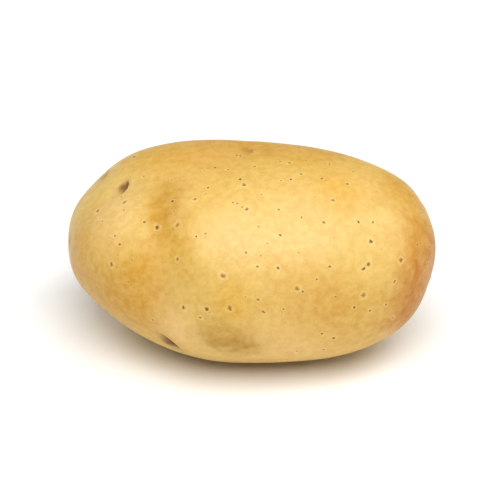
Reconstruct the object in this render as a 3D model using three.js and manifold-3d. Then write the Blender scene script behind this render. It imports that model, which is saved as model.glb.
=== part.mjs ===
// A whole washed potato, lying on its flattest side. It grew as one piece, so it is one solid.
// Millimetres. +X runs from the rose end (the end with most eyes) to the heel end (where the
// tuber hung on its stolon), +Y to the back, +Z up. The origin is under the middle, at the
// height of the surface that the potato rests on.
import * as THREE from "three";
import { mergeVertices } from "three/addons/utils/BufferGeometryUtils.js";
import Module from "manifold-3d";

// The overall size, measured over everything.
const LENGTH = 90; // rose end to heel end, along X
const WIDTH = 60; // front to back, along Y
const HEIGHT = 47.5; // resting spot to top, along Z

// The general form, before the bulges: an ellipsoid made fuller, tapered and sheared.
const FULLNESS = 2.35; // 2 is an ellipsoid, more is squarer
const TAPER = 0.05; // how much thicker than the middle the rose end is, as a share
const BACK_SHEAR = -0.13; // how far the form slides along X for each millimetre to the back

// The resting spot: how deep the curved underside is pressed flat.
const SPOT_DEPTH = 0.6;

// The stolon scar at the heel end: a small round hollow.
const SCAR = { azimuth: 8, elevation: 16, reach: 4.5, depth: 1.2 };

// Broad bulges (height above 0) and flats (below 0). Azimuth is in degrees from +X round to +Y,
// elevation in degrees above the horizontal, both seen from the middle. Reach is how far round
// the form it spreads, in degrees, and height is in millimetres.
const BULGES = [
  { azimuth: 180, elevation: 0, reach: 16, height: 1.4 }, // the rose end's tip
  { azimuth: 176, elevation: 36, reach: 20, height: -2.6 }, // rose end, above
  { azimuth: -153, elevation: -27, reach: 20, height: -3.6 }, // rose end, low in front
  { azimuth: -30, elevation: -35, reach: 24, height: 0.8 }, // heel end, low in front
  { azimuth: 4, elevation: 38, reach: 24, height: 3.8 }, // heel end, above
  { azimuth: -72, elevation: 34, reach: 18, height: -0.5 }, // the flattish face in front
  { azimuth: 118, elevation: 24, reach: 24, height: 2.6 }, // back, towards the rose end
  { azimuth: 62, elevation: -18, reach: 20, height: -1.5 }, // back, towards the heel end
];

// The furrow: a shallow waist in front, which sets the rose end off from the rest. It crosses the
// middle height at along, and leans towards the heel end by lean for each millimetre up. It is
// deepest at its azimuth and elevation, and reach is how far round the form it runs, in degrees.
const FURROW = {
  along: -24,
  lean: 0.15,
  width: 4,
  depth: 2.6,
  azimuth: -134,
  elevation: 22,
  reach: 28,
};

// The eyes: each is a shallow hollow where a bud sits. Reach and depth are in millimetres.
const EYES = [
  { azimuth: -124, elevation: -31, reach: 4.5, depth: 0.5 },
  { azimuth: 178, elevation: 45, reach: 4, depth: 0.8 },
  { azimuth: 176, elevation: 4, reach: 4.5, depth: 1.1 },
  { azimuth: 150, elevation: 30, reach: 5, depth: 1.2 },
  { azimuth: 148, elevation: -28, reach: 4.5, depth: 1.0 },
  { azimuth: 104, elevation: 22, reach: 5.5, depth: 1.3 },
  { azimuth: 88, elevation: 72, reach: 4.5, depth: 0.8 },
  { azimuth: 64, elevation: -30, reach: 5, depth: 1.1 },
  { azimuth: 36, elevation: 32, reach: 5, depth: 1.2 },
  { azimuth: -14, elevation: -14, reach: 5, depth: 0.8 },
];

const GRID = 20; // squares along each side of the cube that the round mesh starts from

// The unit vector that looks from the middle towards a feature.
function towards({ azimuth, elevation }) {
  const polar = THREE.MathUtils.degToRad(90 - elevation);
  const turn = THREE.MathUtils.degToRad(azimuth);
  return new THREE.Vector3(
    Math.sin(polar) * Math.cos(turn),
    Math.sin(polar) * Math.sin(turn),
    Math.cos(polar),
  );
}

// A smooth bump: 1 in its middle, falling away to 0 over a few reaches.
function falloff(distance, reach) {
  return Math.exp(-0.5 * (distance / reach) ** 2);
}

// Where the fuller, tapered and sheared form lies in a direction.
function generalForm(direction) {
  const sum = direction.toArray().reduce((total, c) => total + Math.abs(c) ** FULLNESS, 0);
  const point = direction.clone().multiplyScalar(sum ** (-1 / FULLNESS));
  const girth = 1 - TAPER * point.x;
  return new THREE.Vector3(
    (point.x * LENGTH) / 2 + (BACK_SHEAR * point.y * WIDTH) / 2,
    (point.y * girth * WIDTH) / 2,
    (point.z * girth * HEIGHT) / 2,
  );
}

// How far the bulges and flats lift the surface in a direction.
function bulging(direction) {
  return BULGES.reduce((total, bulge) => {
    const apart = THREE.MathUtils.radToDeg(direction.angleTo(towards(bulge)));
    return total + bulge.height * falloff(apart, bulge.reach);
  }, 0);
}

// How deep the furrow is at a point of the surface.
function furrowing(direction, point) {
  const round = THREE.MathUtils.radToDeg(direction.angleTo(towards(FURROW)));
  const aside = point.x - FURROW.along - FURROW.lean * point.z;
  return FURROW.depth * falloff(aside, FURROW.width) * falloff(round, FURROW.reach);
}

// How deep the eyes and the scar are at a point: each hollow lies round the point of the general
// form that it looks at.
const HOLLOWS = [...EYES, SCAR].map((hollow) => ({
  ...hollow,
  centre: generalForm(towards(hollow)),
}));

function hollowing(point) {
  return HOLLOWS.reduce(
    (total, hollow) =>
      total + hollow.depth * falloff(point.distanceTo(hollow.centre), hollow.reach),
    0,
  );
}

// The finished surface in a direction.
function surface(direction) {
  const point = generalForm(direction);
  const lift = bulging(direction) - furrowing(direction, point) - hollowing(point);
  return point.addScaledVector(direction, lift);
}

// A closed mesh of nearly even squares, each split in two, that wraps the form all round.
function wrappedForm() {
  const cube = new THREE.BoxGeometry(2, 2, 2, GRID, GRID, GRID);
  cube.deleteAttribute("normal");
  cube.deleteAttribute("uv");
  const mesh = mergeVertices(cube);
  const places = mesh.attributes.position;
  const corner = new THREE.Vector3();
  for (let i = 0; i < places.count; i++) {
    corner.fromBufferAttribute(places, i);
    corner.set(...corner.toArray().map((c) => Math.tan((c * Math.PI) / 4))).normalize();
    places.setXYZ(i, ...surface(corner));
  }
  return mesh;
}

// Brings the form to its overall size, centres it, and lets its underside reach SPOT_DEPTH
// below the surface that it rests on.
function sized(mesh) {
  mesh.computeBoundingBox();
  const middle = mesh.boundingBox.getCenter(new THREE.Vector3());
  const size = mesh.boundingBox.getSize(new THREE.Vector3());
  const tall = HEIGHT + SPOT_DEPTH;
  mesh.translate(-middle.x, -middle.y, -middle.z);
  mesh.scale(LENGTH / size.x, WIDTH / size.y, tall / size.z);
  mesh.translate(0, 0, tall / 2 - SPOT_DEPTH);
  return mesh;
}

// The solid library's own form of a closed mesh, and back.
function solidOf(wasm, mesh) {
  return new wasm.Manifold(
    new wasm.Mesh({
      numProp: 3,
      vertProperties: new Float32Array(mesh.attributes.position.array),
      triVerts: new Uint32Array(mesh.index.array),
    }),
  );
}

function geometryOf(solid) {
  const mesh = solid.getMesh();
  const geometry = new THREE.BufferGeometry();
  geometry.setAttribute("position", new THREE.BufferAttribute(mesh.vertProperties, 3));
  geometry.setIndex(new THREE.BufferAttribute(mesh.triVerts, 1));
  geometry.computeVertexNormals();
  return geometry;
}

// Everything under the resting surface, as a block to cut away.
function blockBelow() {
  const block = new THREE.BoxGeometry(2 * LENGTH, 2 * WIDTH, HEIGHT);
  block.deleteAttribute("normal");
  block.deleteAttribute("uv");
  return mergeVertices(block.translate(0, 0, -HEIGHT / 2));
}

const wasm = await Module();
wasm.setup();
const pressedFlat = solidOf(wasm, sized(wrappedForm())).subtract(solidOf(wasm, blockBelow()));

const skin = new THREE.MeshStandardMaterial({ color: 0xe2b566, roughness: 0.5, metalness: 0 });
const potato = new THREE.Mesh(geometryOf(pressedFlat), skin);
potato.name = "potato";

const part = new THREE.Group();
part.add(potato);

export default part;
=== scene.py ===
import math
import random

import bpy
import numpy as np
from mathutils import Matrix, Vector, noise
from mathutils.bvhtree import BVHTree


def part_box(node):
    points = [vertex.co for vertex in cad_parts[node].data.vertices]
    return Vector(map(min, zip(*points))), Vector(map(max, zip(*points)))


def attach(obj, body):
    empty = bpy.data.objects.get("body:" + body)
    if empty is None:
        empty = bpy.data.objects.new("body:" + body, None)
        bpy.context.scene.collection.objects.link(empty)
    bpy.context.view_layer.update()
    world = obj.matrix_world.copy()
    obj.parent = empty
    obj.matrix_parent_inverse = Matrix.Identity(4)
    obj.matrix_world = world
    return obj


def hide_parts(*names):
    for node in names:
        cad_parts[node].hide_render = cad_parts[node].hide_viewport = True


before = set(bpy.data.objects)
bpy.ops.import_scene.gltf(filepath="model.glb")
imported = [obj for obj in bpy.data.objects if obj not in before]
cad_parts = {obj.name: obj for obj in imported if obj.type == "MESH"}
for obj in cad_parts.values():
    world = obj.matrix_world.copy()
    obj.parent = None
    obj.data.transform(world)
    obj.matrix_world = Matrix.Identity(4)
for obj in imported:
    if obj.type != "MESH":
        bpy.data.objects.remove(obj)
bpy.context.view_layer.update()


# ---- The tuber ----
# A potato is the swollen tip of an underground stem: firm flesh under a thin corky skin, all one
# body. This one is washed, and lies on its flattest side. Its rose end, where the shoot would
# grow on, points to -X, and its heel end, where it hung on its stolon, to +X.

mm = 0.001
SQUARES = 128  # squares along each side of the cube that the skin's mesh is blown up from
MELTING = 60  # rounds of easing that take the flat facets out of the solid
MAP_MARGIN = 0.02  # left free round each side of the cube in the mesh's flat map, as a share

lowest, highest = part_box("potato")
middle = np.array((lowest + highest) / 2)


def cube_surface(squares):
    """Whole-number places on a cube's six sides, the squares between them, and a map of each side."""
    row = np.arange(squares + 1)
    first, second = (a.ravel() for a in np.meshgrid(row, row, indexing="ij"))
    start = (first * (squares + 1) + second).reshape(squares + 1, squares + 1)[:-1, :-1].ravel()
    around = np.stack([start, start + squares + 1, start + squares + 2, start + 1], axis=1)
    places, quads, maps = [], [], []
    for side in range(6):
        axis, far = side % 3, side // 3
        place = np.zeros((len(first), 3), int)
        place[:, axis] = far * squares
        place[:, (axis + 1) % 3] = first
        place[:, (axis + 2) % 3] = second
        places.append(place)
        quads.append((around if far else around[:, ::-1]) + side * len(first))
        across_side = np.stack([first, second], axis=1) / squares
        inset = MAP_MARGIN + (1 - 2 * MAP_MARGIN) * across_side
        maps.append((inset + (axis, far)) / (3, 2))
    return np.concatenate(places), np.concatenate(quads), np.concatenate(maps)


def eased(values, passes):
    """Values at the mesh's points, each drawn towards the mean of its neighbours."""
    for _ in range(passes):
        total = np.bincount(edges[:, 0], values[edges[:, 1]], len(values))
        total += np.bincount(edges[:, 1], values[edges[:, 0]], len(values))
        values = (values + total / valence) / 2
    return values


def normals_of(points):
    """The outward unit normal at each point of the mesh."""
    corner = points[faces]
    tilted = np.cross(corner[:, 2] - corner[:, 0], corner[:, 3] - corner[:, 1])
    summed = [np.bincount(faces.ravel(), np.repeat(tilted[:, i], 4), len(points)) for i in range(3)]
    summed = np.stack(summed, axis=1)
    return summed / np.linalg.norm(summed, axis=1, keepdims=True)


def swells(points, size, seed):
    """Smooth unevenness from about -1 to 1, with swells of about this size."""
    away = Vector((17.3 * seed, 5.1 * seed, 0))
    return np.array([noise.noise(Vector(p) / size + away) for p in points])


lattice, square_corners, square_maps = cube_surface(SQUARES)
lattice, merged = np.unique(lattice, axis=0, return_inverse=True)
faces = merged.ravel()[square_corners]
sides = np.concatenate([faces[:, [0, 1]], faces[:, [1, 2]], faces[:, [2, 3]], faces[:, [3, 0]]])
edges = np.unique(np.sort(sides, axis=1), axis=0)
valence = np.bincount(edges.ravel(), minlength=len(lattice))

directions = np.tan((2 * lattice / SQUARES - 1) * math.pi / 4)
directions /= np.linalg.norm(directions, axis=1, keepdims=True)

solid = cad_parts["potato"].data
shell = BVHTree.FromPolygons([v.co for v in solid.vertices], [p.vertices for p in solid.polygons])
faceted = np.array([shell.ray_cast(Vector(middle), Vector(d))[0] for d in directions])
form = np.stack([eased(coordinate, MELTING) for coordinate in faceted.T], axis=1)
upright = normals_of(form)

# The skin follows the flesh, which is never quite even: broad swells, then finer ones.
UNEVEN = (
    # size, height
    (17 * mm, 0.24 * mm),
    (8 * mm, 0.08 * mm),
    (3.2 * mm, 0.02 * mm),
    (1.3 * mm, 0.006 * mm),
)
lift = sum(
    height * swells(form, size, seed) for seed, (size, height) in enumerate(UNEVEN, start=1)
)


def spot(azimuth, elevation):
    """The point and the normal that look this way from the middle, in degrees from +X to +Y and up."""
    turn, rise = math.radians(azimuth), math.radians(elevation)
    way = (math.cos(rise) * math.cos(turn), math.cos(rise) * math.sin(turn), math.sin(rise))
    nearest = np.argmax(directions @ way)
    return form[nearest], upright[nearest]


def flat_round(azimuth, elevation, turn=0.0):
    """Where every point lies round a spot: across the tuber, towards its heel end, and how far off.
    Turn swings the two directions round the spot, in degrees."""
    point, normal = spot(azimuth, elevation)
    away = form - point
    heelward = np.array([1.0, 0, 0]) - normal[0] * normal
    heelward /= np.linalg.norm(heelward)
    across = np.cross(normal, heelward)
    c, s = math.cos(math.radians(turn)), math.sin(math.radians(turn))
    off = np.linalg.norm(away, axis=1)
    return away @ (c * across + s * heelward), away @ (c * heelward - s * across), off


def bell(distance, width):
    """1 in the middle, falling away smoothly to 0."""
    return np.exp(-0.5 * (distance / width) ** 2)


# The eyes: each is a leaf's scar, an arched brow with a crease under it, and the bud that sat
# under the leaf. The brow arches towards the heel end.
EYES = (
    # azimuth, elevation, turn, half the brow's length, how deep, how dark
    (-131, -23, -42, 4.6 * mm, 1.3, 1.0),
    (178, 29, 12, 3.1 * mm, 1.0, 1.0),
    (177, 2, 0, 2.8 * mm, 1.0, 0.4),
    (159, 19, 15, 3.2 * mm, 1.0, 0.5),
    (158, -17, -10, 3.0 * mm, 1.1, 0.7),
    (116, 17, 10, 4.0 * mm, 1.4, 0.9),
    (94, 68, 0, 2.8 * mm, 0.6, 0.4),
    (58, -24, -15, 4.0 * mm, 1.3, 0.8),
    (26, 21, 10, 3.8 * mm, 1.3, 0.8),
    (-9, -7, 0, 3.2 * mm, 0.9, 0.5),
)
BROW_HEIGHT = 0.28 * mm
BROW_WIDTH = 0.6 * mm
BROW_AHEAD = 0.55 * mm  # how far the brow's crest lies on the heel end's side of the arch
CREASE_DEPTH = 0.42 * mm
CREASE_WIDTH = 0.42 * mm
CREASE_BEHIND = 0.35 * mm  # how far the crease lies on the other side of it
BUD_HEIGHT = 0.3 * mm
HOLLOW_DEPTH = 0.15 * mm
# These are shares of half the brow's length.
ARCH = 0.4  # how far the brow's middle stands out towards the heel end
BROW_END = 1.15  # where the brow has faded out
BUD_SIZE = 0.22
BUD_BEHIND = 0.12
HOLLOW_SIZE = 0.55
CREASE_SHADE = 0.15  # how wide the dark in the crease is
CREASE_SHADE_BEHIND = 0.09
BUD_SHADE = 0.48  # how wide the dull skin round the bud is

crease_cork_and_shade = np.zeros(len(form))  # how dark each point is from a crease's brown cork and painted shade in it, 0 to 1
budded = np.zeros(len(form))  # how dull each point is from a bud, 0 to 1
for azimuth, elevation, turn, half, strength, dark in EYES:
    across, heelward, off = flat_round(azimuth, elevation, turn)
    near = off < 3 * half
    beside = heelward - ARCH * half * (1 - (across / half) ** 2)
    fade = np.clip(1 - (across / (BROW_END * half)) ** 2, 0, 1) ** 1.5 * near
    brow = fade * bell(beside - BROW_AHEAD, BROW_WIDTH)
    crease = fade * bell(beside + CREASE_BEHIND, CREASE_WIDTH)
    bud = near * bell(np.hypot(across, heelward + BUD_BEHIND * half), BUD_SIZE * half)
    hollow = near * bell(off, HOLLOW_SIZE * half)
    lift += strength * (brow * BROW_HEIGHT - crease * CREASE_DEPTH)
    lift += strength * (bud * BUD_HEIGHT - hollow * HOLLOW_DEPTH)
    # The crease's brown cork, darkened further as painted shade in the crease.
    in_crease = fade * bell(beside + CREASE_SHADE_BEHIND * half, CREASE_SHADE * half)
    round_bud = near * bell(np.hypot(across, 1.6 * heelward), BUD_SHADE * half)
    crease_cork_and_shade = np.maximum(crease_cork_and_shade, dark * in_crease)
    budded = np.maximum(budded, dark * round_bud)

# The stolon's scar at the heel end: a small rough pit of uneven outline, with a raised lip round
# it and the stolon's stub in its middle.
SCAR = (5, 9)  # azimuth and elevation
SCAR_RADIUS = 2.1 * mm
SCAR_DEPTH = 1.1 * mm
SCAR_ROUGHNESS = 0.3 * mm
SCAR_UNEVENNESS = 0.9 * mm  # of its outline
LIP_HEIGHT = 0.4 * mm
STUB_HEIGHT = 0.5 * mm
off = flat_round(*SCAR)[2] + SCAR_UNEVENNESS * swells(form, 2.2 * mm, 8)
scarred = 1 / (1 + (np.maximum(off, 0) / SCAR_RADIUS) ** 6)
lift += LIP_HEIGHT * bell(off - 1.4 * SCAR_RADIUS, 0.8 * mm)
lift -= scarred * (SCAR_DEPTH + SCAR_ROUGHNESS * swells(form, 0.9 * mm, 9))
lift += STUB_HEIGHT * bell(off, 0.7 * mm)

# Lenticels: the pores that the tuber breathes through, small brown specks. The first two lists are
# the ones that show in front, larger and smaller, and the rest are scattered all over.
LARGE_SPECKS = (
    (-175, 19), (-143, 30), (-133, 35), (-149, 11), (-103, 18), (154, 30), (-119, 1), (-99, 3),
    (-35, 22), (-40, 15), (-29, 12), (-69, 11), (-44, 4), (-168, 29),
)  # fmt: skip
SMALL_SPECKS = (
    (176, 37), (-149, 29), (-136, 49), (-99, 69), (-93, 51), (-92, 29), (-109, 2), (-19, 52),
    (-33, 42), (-68, 49), (-48, 36), (-34, 30), (-29, 27), (-42, 14), (-54, 18), (-77, 21),
    (4, 68), (-33, 6), (-33, -8), (-48, 0), (-84, 1), (-59, -11), (-54, -14), (-125, 21),
)  # fmt: skip
SPECKS_ELSEWHERE = 190
LARGE_RADII = (0.4 * mm, 0.52 * mm)  # the least and the greatest
SMALL_RADII = (0.27 * mm, 0.38 * mm)
RADII_ELSEWHERE = (0.12 * mm, 0.3 * mm)
draw = random.Random(7)
specks = [(a, e, draw.uniform(*LARGE_RADII)) for a, e in LARGE_SPECKS]
specks += [(a, e, draw.uniform(*SMALL_RADII)) for a, e in SMALL_SPECKS]
for _ in range(SPECKS_ELSEWHERE):
    azimuth, height = draw.uniform(-180, 180), draw.uniform(-1, 1)
    specks.append((azimuth, math.degrees(math.asin(height)), draw.uniform(*RADII_ELSEWHERE)))

# How far each point is from the nearest speck, in that speck's radii.
FAR_OFF = 4.0  # where nothing of a speck shows
speckled = np.full(len(form), FAR_OFF)
for azimuth, elevation, radius in specks:
    point = spot(azimuth, elevation)[0]
    speckled = np.minimum(speckled, np.linalg.norm(form - point, axis=1) / radius)

# Stains in the skin, and painted light and shade: painted shade in the furrow, along the heel end's
# edge and along the top rim, and painted highlight and bounce light in the pale patches. Azimuth,
# elevation, how far each spreads, and how strong it is.
STAINS_AND_PAINTED_LIGHT = {
    "ochre_and_shade": (
        # the furrow: ochre stain, made darker as painted shade in the furrow
        (-159, 43, 3 * mm, 0.8), (-148, 37, 3 * mm, 1.0), (-138, 31, 3 * mm, 1.0),
        (-128, 27, 2.6 * mm, 0.6), (-121, 20, 2.6 * mm, 0.4), (-140, 20, 2 * mm, 0.7),
        # the rose end
        (-141, 8, 5 * mm, 1.0), (-148, 0, 6 * mm, 1.0), (-140, -8, 5 * mm, 1.0),
        (-170, 4, 7 * mm, 1.0), (-160, -14, 6 * mm, 0.8),
        # the heel end, in front; the last two are partly painted shade along its edge
        (-58, 6, 7 * mm, 0.4), (-48, -4, 6 * mm, 0.5), (-24, 43, 4 * mm, 0.4),
        (-16, 12, 6 * mm, 0.9), (-2, 26, 6 * mm, 0.9),
        # the top, the back and underneath; the first four are partly painted shade along the top rim
        (150, 40, 8 * mm, 0.7), (112, 52, 8 * mm, 0.8), (75, 56, 9 * mm, 0.9),
        (35, 46, 9 * mm, 0.8), (100, 5, 9 * mm, 0.5), (40, 0, 8 * mm, 0.5),
        (-90, -60, 9 * mm, 0.5),
    ),
    "gold": (
        (-24, 43, 4 * mm, 1.0), (-99, 9, 3 * mm, 0.6), (-98, 2, 3 * mm, 0.8),
        (110, 20, 7 * mm, 0.6),
    ),
    "tan": (
        (-134, 19, 2.5 * mm, 0.6), (-131, 4, 3 * mm, 0.5), (170, 62, 7 * mm, 0.6),
        (80, 20, 9 * mm, 0.5),
    ),
    "pale_and_painted_light": (
        # paler skin, and mostly painted light: painted highlight on the lit front and the left lobe,
        # and painted bounce light low in front
        (-122, -11, 4.5 * mm, 0.7), (-100, 42, 6 * mm, 0.5), (-47, 47, 6 * mm, 0.5),
        (-27, 17, 5 * mm, 0.4), (-18, 37, 5 * mm, 0.3), (-166, 23, 6 * mm, 0.6),
        (-152, 19, 4 * mm, 0.2), (-98, 32, 5 * mm, 0.3), (-78, 26, 6 * mm, 0.2),
        (-60, 26, 6 * mm, 0.3), (-84, -16, 5 * mm, 0.4), (-66, -20, 7 * mm, 0.4),
        (140, 0, 8 * mm, 0.5),
    ),
    "olive_and_shade": (
        # the dull patch low in front
        (-108, -12, 2.4 * mm, 0.5), (-103, -15, 2.8 * mm, 0.8), (-96, -18, 2.8 * mm, 0.8),
        (-90, -19, 2.6 * mm, 0.5), (-104, -6, 4 * mm, 0.3),
        # in the furrow, partly painted shade there, and elsewhere
        (-160, 44, 3 * mm, 0.3), (-151, 40, 2.6 * mm, 0.3), (-144, 35, 2.6 * mm, 0.3),
        (-138, 30, 2.6 * mm, 0.3), (-116, 13, 4 * mm, 0.2), (120, -30, 7 * mm, 0.5),
    ),
    "orange_and_shade": (
        # the first five are a bruise at the heel end's front, made darker by painted shade and a
        # painted warm reflection; the rest are orange skin
        (-24, 6, 3 * mm, 0.9), (-27, -1, 4 * mm, 1.0), (-24, -10, 5.5 * mm, 1.0),
        (-12, 2, 7 * mm, 0.9), (-15, 12, 5 * mm, 0.5), (-60, 3, 5 * mm, 0.2),
        (60, 20, 8 * mm, 0.4), (140, -20, 7 * mm, 0.4),
    ),
}  # fmt: skip


def stain_and_painted_light_strength(places):
    """How strongly stains and painted light and shade at these places colour each point."""
    clear = np.ones(len(form))
    for azimuth, elevation, spread, strength in places:
        point = spot(azimuth, elevation)[0]
        clear *= 1 - strength * bell(np.linalg.norm(form - point, axis=1), spread)
    return 1 - clear


surface = form + lift[:, None] * upright
surface[:, 2] = np.maximum(surface[:, 2], lowest.z)

skin_mesh = bpy.data.meshes.new("potato_skin")
skin_mesh.from_pydata(surface.tolist(), [], faces.tolist())
skin_mesh.shade_smooth()
unwrapped = skin_mesh.uv_layers.new(name="OFBake")
unwrapped.data.foreach_set("uv", square_maps[square_corners.ravel()].ravel())
marks = {"crease": crease_cork_and_shade, "bud": budded, "scar": scarred, "speck": speckled}
marks.update({name: stain_and_painted_light_strength(places) for name, places in STAINS_AND_PAINTED_LIGHT.items()})
for name, values in marks.items():
    skin_mesh.attributes.new(name, "FLOAT", "POINT").data.foreach_set("value", values)

tuber = bpy.data.objects.new("potato_skin", skin_mesh)
bpy.context.scene.collection.objects.link(tuber)

# The skin's finish: thin, smooth, satin cork, yellow from the flesh under it, with ochre and tan
# blotches, a faint brown net, specks and fine grain, and painted shade, highlight and bounce light.
skin = bpy.data.materials.new("potato skin")
skin.use_nodes = True
skin_nodes = skin.node_tree
skin_shader = skin_nodes.nodes["Principled BSDF"]


def feed(socket, value):
    """Links a value that is a socket, and sets any other."""
    if isinstance(value, bpy.types.NodeSocket):
        skin_nodes.links.new(value, socket)
    else:
        socket.default_value = value


def add(kind, settings=None, **inputs):
    """A node in the skin's material, with its settings and the values fed to its sockets. A
    socket's name is given with _ for a space."""
    made = skin_nodes.nodes.new("ShaderNode" + kind)
    for name, value in (settings or {}).items():
        setattr(made, name, value)
    for name, value in inputs.items():
        feed(made.inputs[name.replace("_", " ")], value)
    return made


def tone(red, green, blue):
    """A colour as it looks on a screen, 0 to 255, as a shader takes it."""
    shares = (c / 255 for c in (red, green, blue))
    return *((c / 12.92 if c <= 0.04045 else ((c + 0.055) / 1.055) ** 2.4) for c in shares), 1


def mixed(share, under, over):
    """One colour laid over another, by a share from 0 to 1."""
    mix = add("Mix", {"data_type": "RGBA"})
    feed(mix.inputs[0], share)
    feed(mix.inputs[6], under)
    feed(mix.inputs[7], over)
    return mix.outputs[2]


def between(value, low, high, to_low=0.0, to_high=1.0):
    """Brings a value from one range to another, smoothly and held at both ends."""
    made = add(
        "MapRange", {"interpolation_type": "SMOOTHSTEP"},
        Value=value, From_Min=low, From_Max=high, To_Min=to_low, To_Max=to_high,
    )  # fmt: skip
    return made.outputs[0]


def soft_noise(size, detail=2.0, bend=0.0, roughness=0.5):
    """A node of soft noise in three dimensions, with features of about this size."""
    return add(
        "TexNoise", Vector=place, Scale=1 / size, Detail=detail, Distortion=bend, Roughness=roughness
    )


def cloud(*settings):
    """The value of such a soft noise, about 0 to 1."""
    return soft_noise(*settings).outputs["Fac"]


def worked(way, first, second):
    """Two values put together by arithmetic."""
    made = add("Math", {"operation": way})
    feed(made.inputs[0], first)
    feed(made.inputs[1], second)
    return made.outputs[0]


def marked(name):
    """A mark that the mesh carries."""
    return add("Attribute", {"attribute_name": name}).outputs["Fac"]


place = add("TexCoord").outputs["Object"]

# Broad colour: yellow skin with paler, deeper and duller areas.
colour = mixed(between(cloud(24 * mm, 3), 0.35, 0.7), tone(213, 180, 98), tone(207, 167, 79))
colour = mixed(between(cloud(11 * mm, 4, 0.6), 0.48, 0.75, 0, 0.6), colour, tone(226, 195, 114))
colour = mixed(between(cloud(6 * mm, 4, 1.0), 0.55, 0.8, 0, 0.45), colour, tone(198, 148, 52))

# The stains and the painted light and shade, with ragged edges.
ragged = between(cloud(4 * mm, 5, 0.5, 0.6), 0.2, 0.7, 0.6, 1.2)
# Ochre, olive and orange also paint shade, orange a warm reflection too, and pale paints highlight and
# bounce light.
STAIN_AND_PAINTED_LIGHT_TONES = {
    "ochre_and_shade": tone(196, 143, 34),
    "gold": tone(208, 156, 32),
    "tan": tone(206, 152, 66),
    "pale_and_painted_light": tone(230, 189, 122),
    "olive_and_shade": tone(166, 120, 6),
    "orange_and_shade": tone(178, 108, 0),
}
for name, stain_and_painted_light_tone in STAIN_AND_PAINTED_LIGHT_TONES.items():
    colour = mixed(worked("MULTIPLY", marked(name), ragged), colour, stain_and_painted_light_tone)

# Fine mottling, darker and lighter.
MOTTLING = 0.17
mottle = between(cloud(1.9 * mm, 5, 0.3, 0.65), 0.3, 0.7)
colour = mixed(MOTTLING, colour, mixed(mottle, tone(176, 122, 34), tone(240, 214, 138)))

# The net: fine brown cracks in the cork, in places.
NET_STRENGTH = 0.1
WOBBLE = 2.2 * mm  # how far the cracks stray from straight
strayed = add("VectorMath", {"operation": "SCALE"}, Scale=WOBBLE)
feed(strayed.inputs[0], soft_noise(2.5 * mm, 3).outputs["Color"])
warped = add("VectorMath", {"operation": "ADD"})
feed(warped.inputs[0], place)
feed(warped.inputs[1], strayed.outputs[0])
cracks = add(
    "TexVoronoi", {"feature": "DISTANCE_TO_EDGE"}, Vector=warped.outputs[0], Scale=1 / (3.4 * mm)
)
line = between(cracks.outputs["Distance"], 0.0, 0.07, 1, 0)
net = worked("MULTIPLY", line, between(cloud(9 * mm, 3), 0.5, 0.68))
colour = mixed(worked("MULTIPLY", net, NET_STRENGTH), colour, tone(172, 122, 52))

# The specks: brown, each with a faint pale ring, and finer ones between them.
RING_STRENGTH = 0.25
FLECK_STRENGTH = 0.55
speck = worked("ADD", marked("speck"), between(cloud(0.8 * mm, 3), 0.25, 0.75, -0.55, 0.55))
ring = between(worked("ABSOLUTE", worked("SUBTRACT", speck, 2.0), 0.0), 0.0, 1.0, 1, 0)
colour = mixed(worked("MULTIPLY", ring, RING_STRENGTH), colour, tone(240, 212, 150))
dot = between(speck, 0.5, 1.5, 1, 0)
dot_strength = between(cloud(5 * mm), 0.35, 0.6, 0.5, 0.95)
colour = mixed(worked("MULTIPLY", dot, dot_strength), colour, tone(116, 74, 24))
grit = add("TexVoronoi", {"feature": "F1"}, Vector=place, Scale=1 / (3.1 * mm), Randomness=1.0)
rare = between(add("SeparateColor", Color=grit.outputs["Color"]).outputs[0], 0.55, 0.62)
fleck = worked("MULTIPLY", between(grit.outputs["Distance"], 0.03, 0.07, 1, 0), rare)
colour = mixed(worked("MULTIPLY", fleck, FLECK_STRENGTH), colour, tone(142, 92, 40))

# The eyes and the scar: brown cork in the crease, made darker as painted shade there, and dull skin
# round the bud.
cork_and_shade = between(worked("MULTIPLY", marked("crease"), ragged), 0.2, 0.75)
colour = mixed(marked("bud"), colour, tone(122, 80, 34))
colour = mixed(worked("MULTIPLY", cork_and_shade, 0.85), colour, tone(104, 66, 28))
cork = mixed(between(cloud(1.6 * mm, 5, 0.4), 0.35, 0.6), tone(170, 128, 74), tone(112, 76, 38))
rim = between(worked("ABSOLUTE", worked("SUBTRACT", marked("scar"), 0.7), 0.0), 0.0, 0.3, 0.7, 0)
cork = mixed(rim, cork, tone(94, 62, 30))
colour = mixed(between(worked("MULTIPLY", marked("scar"), ragged), 0.1, 0.7, 0, 0.9), colour, cork)
skin_nodes.links.new(colour, skin_shader.inputs["Base Color"])

# The sheen: satin all over, duller on cork and a little uneven.
SATIN = (0.38, 0.48)  # the least and the greatest roughness of clean skin
CORK_ROUGHNESS = 0.75
roughness = between(cloud(5 * mm, 4), 0.3, 0.7, *SATIN)
dulled = worked("MAXIMUM", worked("MAXIMUM", dot, cork_and_shade), marked("scar"))
roughness = worked("MAXIMUM", roughness, worked("MULTIPLY", dulled, CORK_ROUGHNESS))
skin_nodes.links.new(roughness, skin_shader.inputs["Roughness"])

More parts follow.
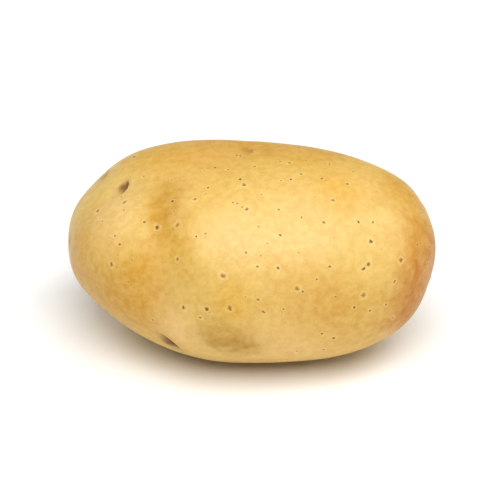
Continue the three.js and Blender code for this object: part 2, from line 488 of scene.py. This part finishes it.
# The relief that is too fine for the mesh: grain, the net's cracks and the specks' pits.
GRAIN_HEIGHT = 0.05 * mm
PIT_DEPTH = 0.12 * mm
grain = worked("ADD", cloud(0.45 * mm, 3), worked("MULTIPLY", cloud(1.6 * mm, 3), 1.6))
relief = add("Bump", Strength=0.5, Distance=GRAIN_HEIGHT, Height=grain)
pitted = worked("ADD", worked("MULTIPLY", dot, -1.0), worked("MULTIPLY", ring, 0.5))
pitted = worked("SUBTRACT", pitted, worked("MULTIPLY", net, 0.4))
relief = add("Bump", Strength=0.8, Distance=PIT_DEPTH, Height=pitted, Normal=relief.outputs[0])
skin_nodes.links.new(relief.outputs[0], skin_shader.inputs["Normal"])

skin_shader.inputs["Specular IOR Level"].default_value = 0.28

# A little light soaks into the flesh, red the furthest.
skin_shader.inputs["Subsurface Weight"].default_value = 0.12
skin_shader.inputs["Subsurface Radius"].default_value = (1.0, 0.5, 0.2)
skin_shader.inputs["Subsurface Scale"].default_value = 1.6 * mm
skin_mesh.materials.append(skin)

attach(tuber, "root")
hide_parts("potato")


# ---- The table ----
# A plain white matt sheet, level and much larger than the potato, which lies loose on it. It isn't
# part of the object.

TABLE_SIZE = 6.0
table_mesh = bpy.data.meshes.new("table")
half_table = TABLE_SIZE / 2
table_mesh.from_pydata(
    [(x * half_table, y * half_table, lowest.z) for x, y in ((-1, -1), (1, -1), (1, 1), (-1, 1))],
    [],
    [(0, 1, 2, 3)],
)
table = bpy.data.objects.new("table", table_mesh)
bpy.context.scene.collection.objects.link(table)
sheet_finish = bpy.data.materials.new("white matt sheet")
sheet_finish.use_nodes = True
sheet_shader = sheet_finish.node_tree.nodes["Principled BSDF"]
sheet_shader.inputs["Base Color"].default_value = (0.95, 0.95, 0.95, 1)
sheet_shader.inputs["Roughness"].default_value = 0.6
table_mesh.materials.append(sheet_finish)


# ---- The light ----
# A studio table's soft light: a wide lamp overhead, a little to the front, one on the right, and
# a weak one at the back on the left, in a bright white room.

LAMPS = (
    # name, azimuth and elevation seen from the potato, distance, size, watts
    ("front", -84, 62, 1.0, 0.9, 11.7),
    ("right", 6, 50, 0.9, 0.45, 2.0),
    ("left", 150, 40, 1.0, 0.5, 1.6),
)
for name, azimuth, elevation, distance, size, watts in LAMPS:
    turn, rise = math.radians(azimuth), math.radians(elevation)
    way = Vector((math.cos(rise) * math.cos(turn), math.cos(rise) * math.sin(turn), math.sin(rise)))
    lamp = bpy.data.lights.new(name, "AREA")
    lamp.shape = "SQUARE"
    lamp.size = size
    lamp.energy = watts
    lamp_object = bpy.data.objects.new(name, lamp)
    lamp_object.location = Vector(middle) + way * distance
    lamp_object.rotation_euler = way.to_track_quat("Z", "Y").to_euler()
    bpy.context.scene.collection.objects.link(lamp_object)

room = bpy.data.worlds.new("white room")
room.use_nodes = True
room.node_tree.nodes["Background"].inputs["Color"].default_value = (1, 1, 1, 1)
room.node_tree.nodes["Background"].inputs["Strength"].default_value = 0.28
bpy.context.scene.world = room
bpy.context.scene.view_settings.view_transform = "Standard"


# ---- The camera ----
# It looks at the potato's long side from the front, a little from above, through a long lens, so
# that the near and the far side show at nearly the same scale.

CAMERA_ELEVATION = math.radians(30)
LENS = 200  # mm
SHARE = 0.74  # how much of the picture's width the potato takes

camera = bpy.data.objects.new("camera", bpy.data.cameras.new("camera"))
camera.data.lens = LENS
camera_distance = (highest.x - lowest.x) / SHARE * LENS / camera.data.sensor_width
camera.location = Vector(middle) + camera_distance * Vector(
    (0, -math.cos(CAMERA_ELEVATION), math.sin(CAMERA_ELEVATION))
)
camera.rotation_euler = (math.pi / 2 - CAMERA_ELEVATION, 0, 0)
bpy.context.scene.collection.objects.link(camera)
bpy.context.scene.camera = camera
